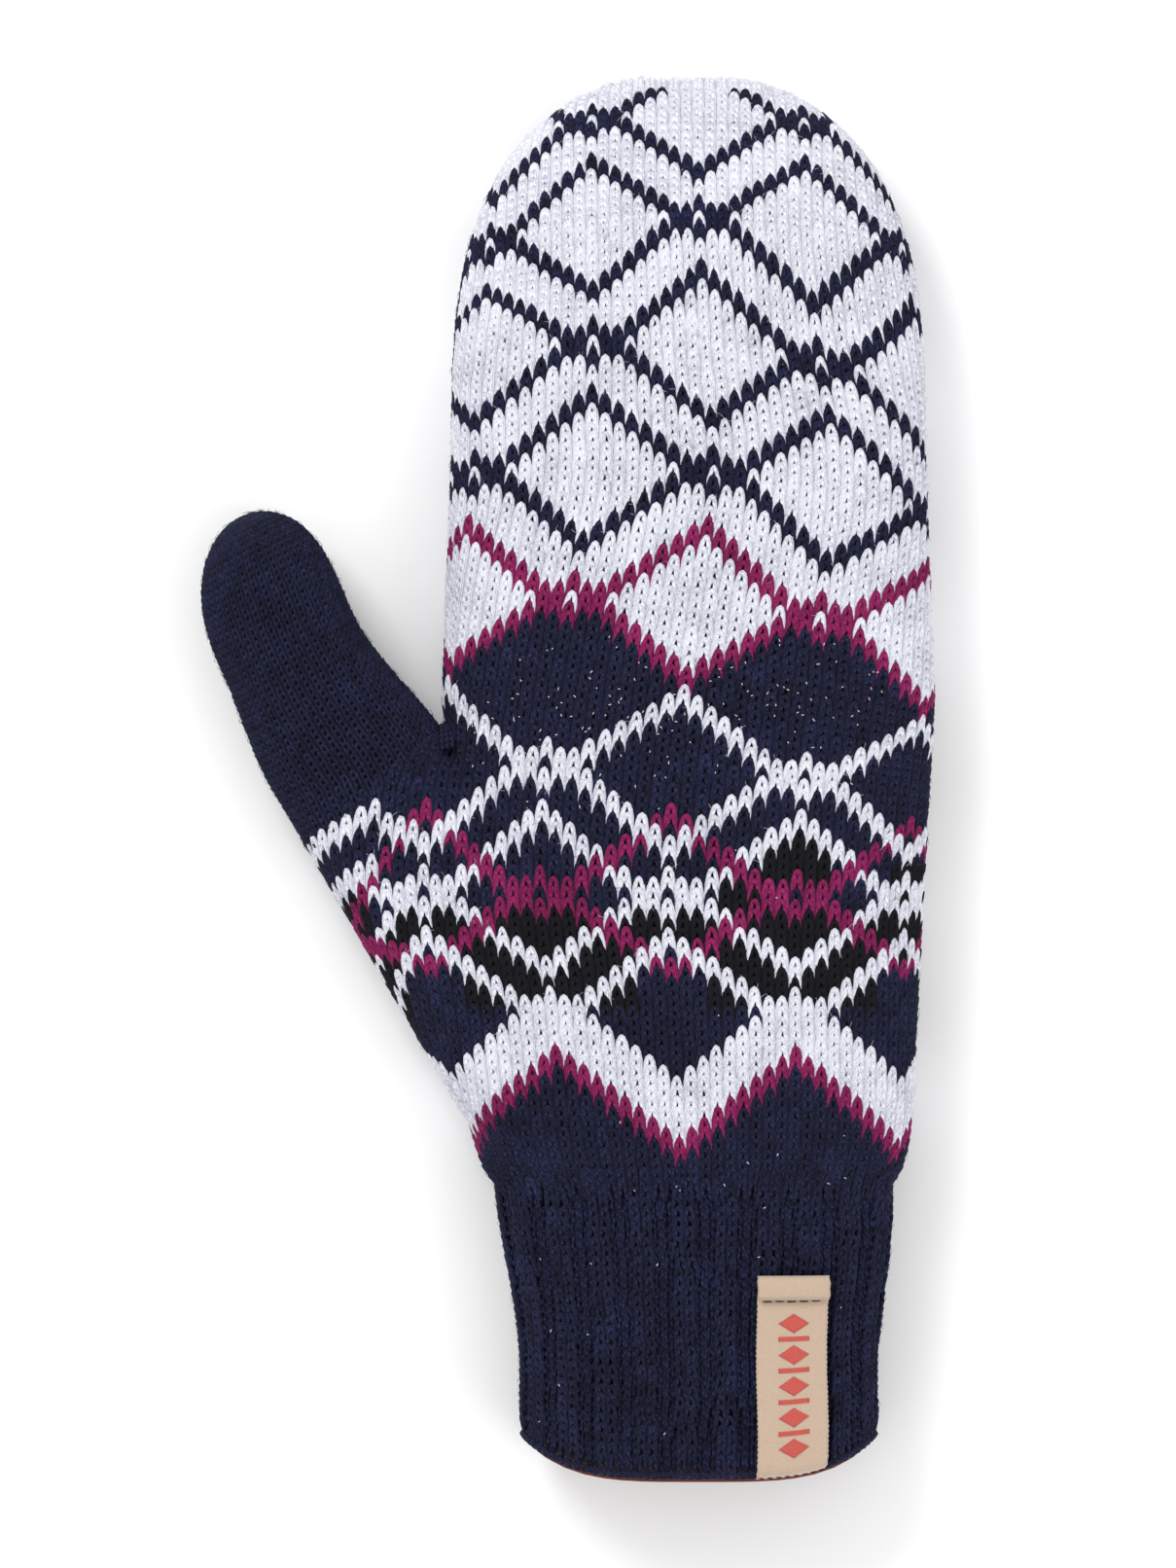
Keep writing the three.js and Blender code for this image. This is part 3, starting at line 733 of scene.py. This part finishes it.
def with_fingers(ob):
    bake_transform(ob)


def with_thumb(ob):
    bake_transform(ob)


def with_hand(ob):
    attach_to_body(ob, "hand")


REPLACED = {0: ("hand_knit", "finger_knit"), 1: ("finger_knit",), 2: ("hand_knit",), 3: ("hand_knit",)}
for k, parts in stitched.items():
    yarn_pieces(COLOURS[k] + "_hand_yarn", parts, WOOL[k], with_fingers, REPLACED[k])

# the thumb, plain and finer
THUMB_WALES = 50
THUMB_COURSE = 1.38
thumb_s = [-30.0]
while thumb_s[-1] < 53.6 and len(thumb_s) < 120:
    s = thumb_s[-1]
    d = max(0.0, s - 31) / (THUMB_REACH - 31)
    slope = 12 * 0.5 * 3.2 * d**2.2 / (THUMB_REACH - 31) / math.sqrt(max(1 - d**3.2, 1e-3))
    thumb_s.append(s + THUMB_COURSE / math.hypot(1, slope))


def thumb_course(c, v):
    """Where a stitch of the thumb lies: its station and its arc length from the thumb's middle."""
    s = np.interp(v, np.arange(len(thumb_s)), thumb_s[::-1])
    s = np.minimum(s, 53.75)
    return s, c * np.interp(s, THUMB.stations, THUMB.around) / THUMB_WALES


parts = []
for side in (0, 1):
    fabric = Fabric(THUMB, side, thumb_course, 31 + side, 0.9)
    cols = np.arange(-(THUMB_WALES // 2) // 2 + 1, THUMB_WALES // 4 + 1)
    r, c = [g.ravel() for g in np.meshgrid(np.arange(1, len(thumb_s) - 1), cols, indexing="ij")]
    s, arc = thumb_course(c.astype(float), r.astype(float))
    p, n = THUMB.at(side, arc, s)
    keep = (beyond_seam(p[:, 0], p[:, 1]) > 0.0) | (p[:, 1] > 145)
    r, c = r[keep], c[keep]
    p, n = fabric.loops(r, c, depth=0.8, lean=0.05)
    loose = fabric.loose[r + 140, c + 110]
    parts.append((p + n * 0.14, n, np.broadcast_to(0.325 * (1 + 0.05 * loose)[:, None], p.shape[:2]), loose))
thumb_parts = parts
yarn_pieces("navy_thumb_yarn", parts, WOOL[0], with_thumb, ("thumb_knit",))

# the ribbed cuff: two knit wales stand out, two purl wales sink in
RIBS = 22
RIB_COURSE = 1.9
rib_rows = int(CUFF / RIB_COURSE) + 1
RIB_WALES = ((-0.13, 0, 0.26), (0.13, 0, 0.26), (0.38, 1, 0.24), (0.62, 1, 0.24))


def hem_rise(x):
    return HEM_CORNER * np.minimum(np.abs((x - CUFF_OFFSET) / HEM_HALF), 1.05) ** 4


rib_knit, rib_purl = [], []
for side in (0, 1):
    fabric = Fabric(HAND, side, None, 51 + side, 0.8)
    lo, hi = limits(side)
    for at, purl, wide in RIB_WALES:
        ribs = np.arange(-7, 8)
        r, c = [g.ravel() for g in np.meshgrid(np.arange(0, rib_rows + 1), ribs, indexing="ij")]
        c = c.astype(float) + at

        def rib_course(cc, v):
            y0 = CUFF + 1.5 - v * RIB_COURSE
            arc = cc * pitch(np.maximum(y0, 0)) * WALES / RIBS
            p, n = HAND.at(side, arc, np.maximum(y0, 0))
            y = y0 + hem_rise(p[..., 0]) * np.clip(1 - y0 / CUFF_FLARE, 0, 1)
            return y, arc

        fabric.course = rib_course
        y, arc = rib_course(c, r.astype(float))
        left, right = np.interp(y, HAND.stations, lo), np.interp(y, HAND.stations, hi)
        bottom_y = hem_rise(HAND.at(side, arc, np.maximum(y, 0))[0][:, 0])
        keep = (arc > -left - 0.3) & (arc < right - 0.3) & (y > bottom_y + 1.6)
        r, c = r[keep], c[keep]
        p, n = fabric.loops(
            r, c, height=2.0, depth=0.9, purl=bool(purl), width=wide, lean=0.06,
            sink=0.45 if purl else -0.25
        )
        loose = fabric.loose[r + 140, np.round(c * 4).astype(int) + 110]
        part = (p, n, np.broadcast_to(0.45 * (1 + 0.05 * loose)[:, None], p.shape[:2]), loose)
        (rib_purl if purl else rib_knit).append(part)
yarn_pieces("rib_knit_yarn", rib_knit, WOOL[0], with_hand, ("rib_cuff",))
yarn_pieces("rib_purl_yarn", rib_purl, WOOL[0], with_hand)


# ---------------------------------------------------- what lies behind the stitches

def shell(name, surface, stations, outer, inner, material, attach, count=180, hem=None):
    """A closed wall between two depths under a surface, open only at its first station."""
    def rings(depth):
        out = []
        for v in stations:
            total = float(np.interp(v, surface.stations, surface.around))
            half = np.linspace(-0.25, 0.25, count // 2, endpoint=False) * total
            pts = []
            for side in (0, 1):
                d = depth + (0.9 * (1 - float(smooth((v - 52) / 6))) if hem else 0)
                a = half if side == 0 else -half
                p, _ = surface.at(side, a, np.full_like(a, v), np.full_like(a, -d))
                if hem:
                    p[:, 1] += hem(p[:, 0]) * np.clip(1 - v / CUFF_FLARE, 0, 1)
                pts.append(p)
            out.append(np.concatenate(pts))
        return np.array(out)
    a, b = rings(outer), rings(inner)
    n = a.shape[1]
    grid = np.concatenate([a, b[::-1]])
    m = len(grid)
    i, k = np.meshgrid(np.arange(m - 1), np.arange(n), indexing="ij")
    kk = (k + 1) % n
    quads = np.stack([i * n + k, i * n + kk, (i + 1) * n + kk, (i + 1) * n + k], -1).reshape(-1, 4)
    last = np.stack(
        [
            (m - 1) * n + np.arange(n), (m - 1) * n + (np.arange(n) + 1) % n,
            (np.arange(n) + 1) % n, np.arange(n)
        ],
        -1
    )
    quads = np.concatenate([quads, last])
    uv = np.stack(np.meshgrid(np.linspace(0, 1, m), np.linspace(0, 1, n), indexing="ij"), -1)
    ob = mesh_object(name, grid.reshape(-1, 3), quads, uv)
    ob.data.materials.append(material)
    attach(ob)
    return ob


hand_stations = np.concatenate([np.arange(1.5, 240, 2.5), np.arange(240, 262, 1.5), np.arange(262, 267, 0.7)])
# the float sheets behind the hand and the thumb carry the painted shade seen through the gaps between
# stitches
shell("hand_knit_floats", INSIDE, hand_stations, 1.45, 2.0, floats_and_painted_gap_shade, with_fingers, hem=hem_rise)
ob = shell(
    "hand_fleece_lining", INSIDE, hand_stations, 2.3, 4.0, fleece, with_fingers,
    hem=hem_rise
)
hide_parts("hand_lining", "finger_lining")
thumb_stations = np.concatenate([np.arange(-34, 40, 2.0), np.arange(40, 51.5, 0.8)])
shell("thumb_knit_floats", THUMB, thumb_stations, 1.15, 1.7, floats_and_painted_gap_shade, with_thumb, 90)
ob = shell("thumb_fleece_lining", THUMB, thumb_stations, 2.0, 3.6, fleece, with_thumb, 90)
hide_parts("thumb_lining")

# ---------------------------------------------------- seams

def strand(name, line, normal, radius, material, attach, replaces=()):
    line, normal = np.asarray(line)[None], np.asarray(normal)[None]
    v, q, uv, yuv = tubes(line, normal, radius)
    ob = mesh_object(name, v, q, uv, yuv, np.zeros(len(v)))
    ob.data.materials.append(material)
    attach(ob)
    if replaces:
        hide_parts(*replaces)
    return ob


def edge_line(y0, y1, right, depth, count, wave=0.0, waves=0):
    y = np.linspace(y0, y1, count)
    lo, hi = limits(0)
    arc = np.interp(y, HAND.stations, hi if right else -lo)
    arc = arc + wave * np.sin(np.linspace(0, waves * 2 * np.pi, count))
    return HAND.at(0, arc, y, np.full(count, -depth))


# linking round the fingertip: the last loops are joined along the edge
y = np.concatenate([np.linspace(228, 262, 60), np.linspace(262.5, 268.4, 30)])
lo, hi = limits(0)
halves = []
for sign, lim in ((-1, lo), (1, hi)):
    arc = sign * np.interp(y, HAND.stations, lim)
    halves.append(HAND.at(0, arc, y, np.full(len(y), -1.0)))
line = np.concatenate([halves[0][0], halves[1][0][::-1]])
norm = np.concatenate([halves[0][1], halves[1][1][::-1]])
strand(
    "fingertip_linking_yarn_loops", line, norm, 0.5, WOOL[1],
    lambda o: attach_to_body(o, "fingers"), ("fingertip_linking_yarn",)
)

# the course picked up for the thumb
a = np.linspace(0, 1, 60)
pick = []
for side in (0, 1):
    xy = CROTCH[None] + (SEAM_FOOT - CROTCH)[None] * (a[:, None] * 0.84 + 0.1)
    z = np.array([(top if side == 0 else bottom)(np.array([x]), float(min(yy, 143.9)))[0] for x, yy in xy])
    pick.append(np.column_stack([xy, z * 0.9]))
ring = np.concatenate([pick[0], pick[1][::-1]])
strand(
    "thumb_pickup_loops", ring, np.tile([0, 0, 1.0], (len(ring), 1)), 0.5, WOOL[0],
    with_hand, ("thumb_pickup_yarn",)
)
# the thumb's last loops are drawn up in a small spiral
turn = np.linspace(0, 13 * np.pi, 240)
reach = 0.15 + 4.6 * turn / turn[-1]
s = 31 + 23 * (1 - (reach / 14) ** 2) ** (1 / 2.6) - 0.5
q = reach * np.cos(turn) + bow(s)
p = np.column_stack(
    [
        ROOT[0] + s * ALONG[0] + q * ACROSS[0], ROOT[1] + s * ALONG[1] + q * ACROSS[1],
        0.92 * reach * np.sin(turn)
    ]
)
n = np.tile([ALONG[0], ALONG[1], 0.0], (240, 1))
strand(
    "thumb_tip_gather", p, n, 0.42, WOOL[0], lambda o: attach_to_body(o, "thumb"),
    ("thumb_tip_yarn",)
)
p, n = edge_line(14, 136, False, 4.9, 160, 0.25, 60)
strand(
    "hand_lining_overlock", p, n, 0.45, magenta_thread, with_fingers,
    ("hand_lining_seam",)
)
p, n = edge_line(150, 255, False, 4.9, 120, 0.25, 40)
strand(
    "finger_lining_overlock", p, n, 0.45, magenta_thread, with_fingers,
    ("finger_lining_seam",)
)
sv = np.linspace(-15, 46, 90)
p, n = THUMB.at(0, np.full(90, -1.0) * np.interp(sv, THUMB.stations, THUMB.around) / 4, sv, np.full(90, -4.2))
strand(
    "thumb_lining_overlock", p, n, 0.4, magenta_thread, with_thumb,
    ("thumb_lining_seam",)
)

# the crotch is closed with a few wraps of the same yarn
for i, x in enumerate(np.linspace(-50.5, -46.2, 7)):
    a = np.linspace(-1, 1, 17)
    line = np.column_stack(
        [
            x + 0.8 * a * (i - 3) / 3, 144.1 + 0.2 * abs(i - 3) - 4.5 * np.abs(a) ** 2.2,
            np.where(a < 0, a * 9.5, a * 7.5)
        ]
    )
    norm = np.column_stack([0 * a, np.cos(a * 1.5), np.sin(a * 1.5)])
    strand(f"crotch_wrap_{i + 1}", line, norm, 0.48, WOOL[0], with_hand)

# the cast-off edge, a chain of small loops along the hem
chain = []
for side in (0, 1):
    lo, hi = limits(side)
    arc = np.linspace(-np.interp(0.5, HAND.stations, lo), np.interp(0.5, HAND.stations, hi), 420)
    p, n = HAND.at(side, arc, np.full(420, 0.5), -0.75 + 0.12 * np.sin(arc * 2 * np.pi / 1.7))
    p[:, 1] += hem_rise(p[:, 0]) + 0.1 * np.cos(arc * 2 * np.pi / 1.7)
    chain.append((p, n))
line = np.concatenate([chain[0][0], chain[1][0][::-1]])
norm = np.concatenate([chain[0][1], chain[1][1][::-1]])
strand(
    "rib_cast_off_edge", np.concatenate([line, line[:2]]), np.concatenate([norm, norm[:2]]), 0.72,
    WOOL[0], with_hand
)


def fibres(name, points, normals, length, radius, out, seed, material, attach):
    """Short loose fibres that curl away from the yarn, but not underneath, where the mitten lies on them."""
    shown = normals[:, 2] > -0.3
    points, normals = points[shown], normals[shown]
    r = np.random.default_rng(seed)
    m = len(points)
    a = r.uniform(0, 2 * np.pi, m)
    flat = np.stack([np.cos(a), np.sin(a), 0 * a], 1)
    flat -= normals * (flat * normals).sum(1, keepdims=True)
    side = np.cross(normals, flat)
    t = np.linspace(0, 1, 5)[None, :, None]
    reach = (length * r.uniform(0.6, 1.3, m))[:, None, None]
    bend = r.normal(0, 0.35, m)[:, None, None]
    rise = (out * r.uniform(0.3, 1.3, m))[:, None, None]
    line = points[:, None] + reach * (
        t * flat[:, None] + bend * t**2 * side[:, None]
    ) + rise * np.sin(np.pi * t * 0.8) * normals[:, None]
    v, q, uv, yuv = tubes(line, np.repeat(normals[:, None], 5, 1), radius, sides=4)
    ob = mesh_object(name, v, q, uv, yuv, np.zeros(len(v)))
    ob.data.materials.append(material)
    attach(ob)


for k, label, number in ((1, "white", 3600), (0, "navy", 2400)):
    p, n = [np.concatenate([part[i] for part in stitched[k]]) for i in (0, 1)]
    i, j = rng.integers(0, len(p), number), rng.integers(3, 10, number)
    fibres(
        label + "_hand_fuzz", p[i, j] + n[i, j] * YARN * 0.8, n[i, j], 1.3, 0.028, 0.35, 70 + k,
        WOOL[k], with_fingers
    )
for parts, label, attach, number in (
    (rib_knit, "navy_cuff_fuzz", with_hand, 1800),
    (thumb_parts, "navy_thumb_fuzz", with_thumb, 1200)
):
    p, n = [np.concatenate([part[i] for part in parts]) for i in (0, 1)]
    i, j = rng.integers(0, len(p), number), rng.integers(3, 10, number)
    fibres(label, p[i, j] + n[i, j] * 0.35, n[i, j], 1.3, 0.026, 0.35, 75, WOOL[0], attach)

# white and magenta lint caught in the navy
lint_y = np.concatenate([rng.normal(148, 8, 190), rng.uniform(8, 165, 60)])
lint_x = np.concatenate([rng.uniform(-44, 42, 190), rng.uniform(-30, 34, 60)])
on = pattern(
    np.round(lint_x / 2.38).astype(int),
    np.round(np.interp(lint_y, COURSE_Y[::-1], COURSE_ROWS[::-1])).astype(int)
) == 0
lint_x, lint_y = lint_x[on], lint_y[on]
p, n = HAND.at(0, lint_x, lint_y, np.full(len(lint_x), 0.02))
third = len(p) // 6
fibres("white_lint", p[third:], n[third:], 0.42, 0.085, 0.1, 81, WOOL[1], with_fingers)
fibres("magenta_lint", p[:third], n[:third], 0.42, 0.085, 0.1, 82, WOOL[2], with_fingers)

# ---------------------------------------------------- the woven label, folded over and under

LABEL_X, LABEL_HALF = 19.6, 6.6


def on_cuff(x, y, out):
    """Points over the cuff; y is above the hem there."""
    yy = np.maximum(y, 0)
    up = y + hem_rise(x) * np.clip(1 - yy / CUFF_FLARE, 0, 1)
    flat_y = np.maximum(up, 0)
    z = hand_top(x, flat_y)
    zx = hand_top(x + 0.5, flat_y) - hand_top(x - 0.5, flat_y)
    k = 1 / np.sqrt(1 + zx**2)
    return np.stack([x - out * zx * k, up, z + out * k], -1)


def slab(name, x, outer, inner, material, replaces=()):
    """A thin closed sheet over the cuff between two faces, each given by heights up the cuff and off it."""
    x = np.broadcast_to(x, outer[0].shape)
    a, b = on_cuff(x, *outer), on_cuff(x, *inner)
    m, n = x.shape
    i, k = np.meshgrid(np.arange(m - 1), np.arange(n - 1), indexing="ij")
    f = np.stack([i * n + k, (i + 1) * n + k, (i + 1) * n + k + 1, i * n + k + 1], -1).reshape(-1, 4)
    rim = np.concatenate(
        [
            np.arange(n), np.arange(1, m) * n + n - 1, (m - 1) * n + np.arange(n - 2, -1, -1),
            np.arange(m - 2, 0, -1) * n
        ]
    )
    nxt = np.roll(rim, -1)
    side = np.stack([rim, nxt, nxt + m * n, rim + m * n], -1)
    uv = np.stack(
        np.meshgrid(np.linspace(0.02, 0.48, m), np.linspace(0.02, 0.98, n), indexing="ij"), -1
    ).reshape(-1, 2)
    ob = mesh_object(
        name, np.concatenate([a.reshape(-1, 3), b.reshape(-1, 3)]),
        np.concatenate([f, (f + m * n)[:, ::-1], side]), np.concatenate([uv, uv + [0.5, 0]])
    )
    ob.data.materials.append(material)
    with_hand(ob)
    if replaces:
        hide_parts(*replaces)
    return ob


path = [
    (34.2, 1.5), (35.2, 1.8), (36.4, 1.95), (37.4, 1.92), (38.2, 1.7), (38.6, 1.3), (38.4, 0.95),
    (37.8, 0.82), (36, 0.82)
]
path += [(y, 0.85 + 0.06 * math.sin(y * 0.9)) for y in np.arange(33.5, 2, -0.5)]
path += [
    (1.5, 0.75), (0.7, 0.45), (0.1, -0.3), (-0.25, -1.3), (-0.3, -2.4), (0.0, -3.4), (0.8, -4.2),
    (3, -4.4), (6, -4.4), (9, -4.4)
]
path = np.array(path)
across = np.linspace(-1, 1, 27)[None]
turn = np.gradient(path, axis=0)
turn /= np.linalg.norm(turn, axis=1, keepdims=True)
inner_path = path - 0.28 * np.column_stack([turn[:, 1], -turn[:, 0]])
teeth = 0.16 * (np.arange(len(path)) % 2)[:, None] * np.sign(across) * (np.abs(across) > 0.98)
label_x = LABEL_X + LABEL_HALF * across + teeth + 0.15 * np.sin(path[:, :1] * 0.21)
spread = np.ones((len(path), 27))
slab(
    "woven_label_satin", label_x, (path[:, :1] * spread, path[:, 1:] * spread),
    (inner_path[:, :1] * spread, inner_path[:, 1:] * spread), satin, ("woven_label",)
)

# a column of plain lozenges and bars stands in for the label's print
g = np.linspace(-1, 1, 9)
for i, (at, tall, wide) in enumerate(
    [
        (29.6, 1.9, 2.9), (26.6, 0.45, 2.9), (23.5, 1.9, 2.9), (20.5, 0.45, 2.9), (17.4, 1.9, 2.9),
        (14.4, 0.45, 2.9), (11.3, 1.9, 2.9), (8.3, 0.45, 2.9), (5.3, 1.9, 2.9)
    ]
):
    u, v = np.meshgrid(g, g, indexing="ij")
    if tall > 1:
        mx, my = LABEL_X + 0.3 + wide * (u + v) / 2, at + tall * (v - u) / 2
    else:
        mx, my = LABEL_X + 0.3 + wide * v, at + tall * u * -1
    lay = 0.85 + 0.06 * np.sin(my * 0.9)
    slab(f"label_motif_{i + 1}", mx, (my, lay + 0.11), (my, lay - 0.1), print_thread)

# five running stitches hold the fold
for i in range(5):
    a = np.linspace(0, 1, 9)
    x = LABEL_X - 5.4 + i * 2.3 + 1.5 * a
    line = on_cuff(x, 33.9 + 0.05 * np.sin(i * 2.0) + 0 * a, 0.7 + 0.5 * np.sin(np.pi * a) ** 0.6)
    strand(
        f"label_stitch_{i + 1}", line, np.tile([0, 0, 1.0], (9, 1)), 0.17, dark_thread,
        with_hand, ("label_thread",) if i == 0 else ()
    )

for name, material, slot in (
    ("lining_hem_band", band_cloth, "hem_band"),
    ("hem_thread", dark_thread, "sewing_thread"),
    ("care_label", care_satin, "care_satin"),
    ("care_label_thread", dark_thread, "sewing_thread"),
):
    ob = bpy.data.objects[name]
    ob.data.materials.clear()
    ob.data.materials.append(material)

# ---------------------------------------------------- floor, light, camera
bpy.ops.mesh.primitive_plane_add(size=6)
floor = bpy.context.object
floor.name = "floor"
m, nt, bsdf = new_material("paper")
bsdf.inputs["Base Color"].default_value = (0.93, 0.93, 0.93, 1)
bsdf.inputs["Roughness"].default_value = 0.9
floor.data.materials.append(m)

world = bpy.data.worlds.new("studio")
bpy.context.scene.world = world
world.use_nodes = True
world.node_tree.nodes["Background"].inputs["Color"].default_value = (1, 1, 1, 1)
world.node_tree.nodes["Background"].inputs["Strength"].default_value = 0.9


def softbox(name, place, size_m, power):
    light = bpy.data.lights.new(name, "AREA")
    light.shape = "RECTANGLE"
    light.size = light.size_y = size_m
    light.energy = power
    ob = bpy.data.objects.new(name, light)
    ob.location = place
    bpy.context.scene.collection.objects.link(ob)
    d = np.array(place)
    ob.rotation_euler = (math.atan2(math.hypot(d[0], d[1]), d[2]), 0, math.atan2(d[0], -d[1]))


softbox("key", (-0.55, 0.75, 0.9), 0.5, 8)
softbox("fill", (0.8, -0.5, 0.8), 0.8, 4)

camera = bpy.data.cameras.new("camera")
camera.sensor_fit = "VERTICAL"
camera.sensor_height = 24
DISTANCE = 2.4
camera.lens = 24 * DISTANCE / 0.30225
camera.clip_start = 0.05
ob = bpy.data.objects.new("camera", camera)
ob.location = (0.0039, -0.0007, 0.013 + DISTANCE)
bpy.context.scene.collection.objects.link(ob)
bpy.context.scene.camera = ob
bpy.context.scene.view_settings.view_transform = "Standard"
